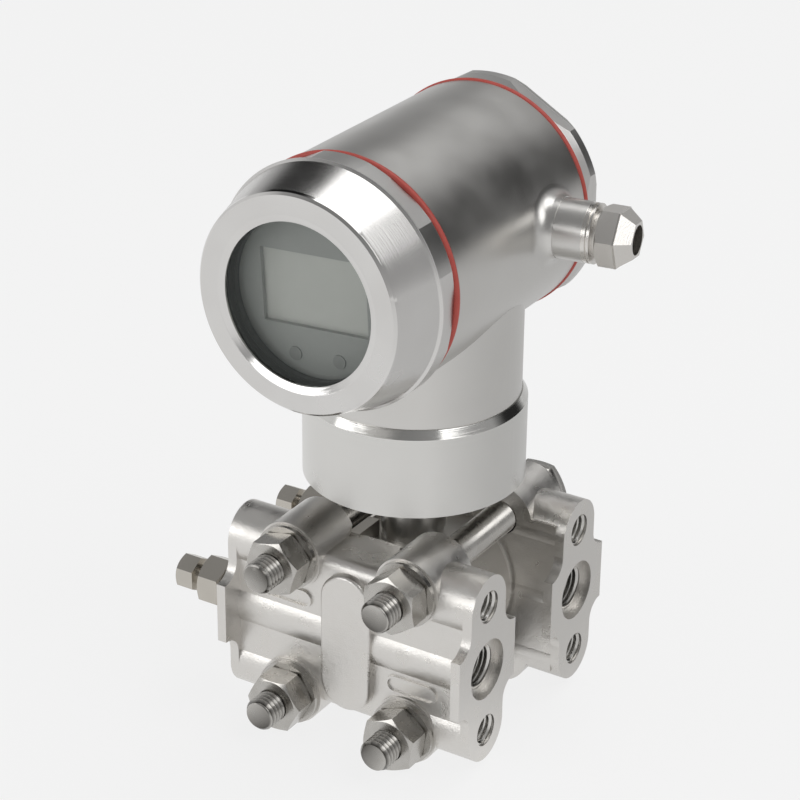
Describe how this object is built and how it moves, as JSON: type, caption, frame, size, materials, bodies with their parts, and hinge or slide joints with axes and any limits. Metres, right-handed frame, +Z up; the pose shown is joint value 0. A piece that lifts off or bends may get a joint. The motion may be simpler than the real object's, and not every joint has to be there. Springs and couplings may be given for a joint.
{
  "type": "differential pressure transmitter",
  "caption": "Differential pressure transmitter: two clamped process flanges on a round sensor, and a turnable steel head with display window and cable gland.",
  "frame": {"origin": "centre of the four process bolt holes, on the face of the flanges' right-hand ends", "axes": "+X out of that face, -Y towards the display, +Z up along the neck"},
  "size_m": [0.1252, 0.1049, 0.1861],
  "materials": {
    "cast_steel": "cast and blasted, satin",
    "machined_steel": "turned, satin",
    "head_steel": "satin with polished edges",
    "bolt_steel": "satin",
    "nut_steel": "satin",
    "membrane_steel": "polished",
    "red_seal": "matt",
    "black_seal": "matt",
    "window": "clear",
    "dark_metal": "anodised, matt",
    "display_plastic": "matt",
    "screen_film": "satin",
    "button_rubber": "matt",
    "board": "satin",
    "post_brass": "satin",
    "block_plastic": "matt"
  },
  "bodies": {
    "base": {"front_flange": "cast_steel", "rear_flange": "cast_steel", "capsule_body": "machined_steel", "front_diaphragm": "membrane_steel", "front_gasket": "black_seal", "rear_diaphragm": "membrane_steel", "rear_gasket": "black_seal", "locating_key": "machined_steel", "clamp_bolts": "bolt_steel", "clamp_nuts": "nut_steel", "clamp_washers": "nut_steel", "front_vent_body": "machined_steel", "rear_vent_body": "machined_steel", "sensor_neck": "machined_steel", "sensor_board": "board", "collar": "machined_steel", "head_lock_screw": "bolt_steel"},
    "head": {"housing": "head_steel", "head_neck": "head_steel", "collar_seal": "black_seal", "display_frame": "display_plastic", "screen": "screen_film", "button_switches": "block_plastic", "display_board": "board", "main_board": "board", "upper_posts": "post_brass", "lower_posts": "post_brass", "board_screws": "bolt_steel", "terminal_block": "block_plastic", "terminal_screws": "post_brass", "gland_body": "machined_steel", "gland_grommet": "black_seal"},
    "front_seal_ring": {"front_seal": "red_seal"},
    "display_cover": {"front_cover": "head_steel", "window_glass": "window", "window_gasket": "black_seal", "window_retainer": "dark_metal"},
    "rear_seal_ring": {"rear_seal": "red_seal"},
    "blank_cover": {"rear_cover": "head_steel"},
    "gland_thrust_washer": {"gland_washer": "machined_steel"},
    "gland_cap": {"gland_nut": "machined_steel"},
    "front_ball": {"front_vent_ball": "machined_steel"},
    "front_bleed_screw": {"front_vent_screw": "machined_steel"},
    "rear_ball": {"rear_vent_ball": "machined_steel"},
    "rear_bleed_screw": {"rear_vent_screw": "machined_steel"},
    "left_button": {"button_left": "button_rubber"},
    "right_button": {"button_right": "button_rubber"}
  },
  "joints": [
    {"name": "head_turn", "type": "hinge", "parent": "base", "child": "head", "pos_m": [-0.0419, 0, 0.0695], "axis": [0, 0, 1], "range_deg": [-160, 160]},
    {"name": "display_cover_travel", "type": "slide", "parent": "head", "child": "front_seal_ring", "axis": [0, -1, 0], "range_m": [0, 0.006]},
    {"name": "display_cover_turn", "type": "hinge", "parent": "front_seal_ring", "child": "display_cover", "pos_m": [-0.0419, -0.0374, 0.1163], "axis": [0, -1, 0], "range_deg": [0, 1430]},
    {"name": "blank_cover_travel", "type": "slide", "parent": "head", "child": "rear_seal_ring", "axis": [0, 1, 0], "range_m": [0, 0.006]},
    {"name": "blank_cover_turn", "type": "hinge", "parent": "rear_seal_ring", "child": "blank_cover", "pos_m": [-0.0419, 0.0374, 0.1163], "axis": [0, 1, 0], "range_deg": [0, 1430]},
    {"name": "gland_cap_travel", "type": "slide", "parent": "head", "child": "gland_thrust_washer", "axis": [0.9903, 0.1392, 0], "range_m": [0, 0.0035]},
    {"name": "gland_cap_turn", "type": "hinge", "parent": "gland_thrust_washer", "child": "gland_cap", "pos_m": [0.00995, 0.01979, 0.1202], "axis": [0.9903, 0.1392, 0], "range_deg": [0, 865]},
    {"name": "front_bleed_travel", "type": "slide", "parent": "base", "child": "front_ball", "axis": [-1, 0, 0], "range_m": [0, 0.002]},
    {"name": "front_bleed_turn", "type": "hinge", "parent": "front_ball", "child": "front_bleed_screw", "pos_m": [-0.0971, -0.027, 0], "axis": [-1, 0, 0], "range_deg": [0, 740]},
    {"name": "rear_bleed_travel", "type": "slide", "parent": "base", "child": "rear_ball", "axis": [-1, 0, 0], "range_m": [0, 0.002]},
    {"name": "rear_bleed_turn", "type": "hinge", "parent": "rear_ball", "child": "rear_bleed_screw", "pos_m": [-0.0971, 0.027, 0], "axis": [-1, 0, 0], "range_deg": [0, 740]},
    {"name": "left_button_press", "type": "slide", "parent": "head", "child": "left_button", "axis": [0, 1, 0], "range_m": [0, 0.00045], "stiffness_N_per_m": 400},
    {"name": "right_button_press", "type": "slide", "parent": "head", "child": "right_button", "axis": [0, 1, 0], "range_m": [0, 0.00045], "stiffness_N_per_m": 400}
  ],
  "couplings": [
    {"joint": "display_cover_travel", "follows": "display_cover_turn", "m_per_rad": 0.00023873},
    {"joint": "blank_cover_travel", "follows": "blank_cover_turn", "m_per_rad": 0.00023873},
    {"joint": "gland_cap_turn", "follows": "gland_cap_travel", "rad_per_m": 4188.8},
    {"joint": "front_bleed_turn", "follows": "front_bleed_travel", "rad_per_m": 6283.2},
    {"joint": "rear_bleed_turn", "follows": "rear_bleed_travel", "rad_per_m": 6283.2}
  ]
}
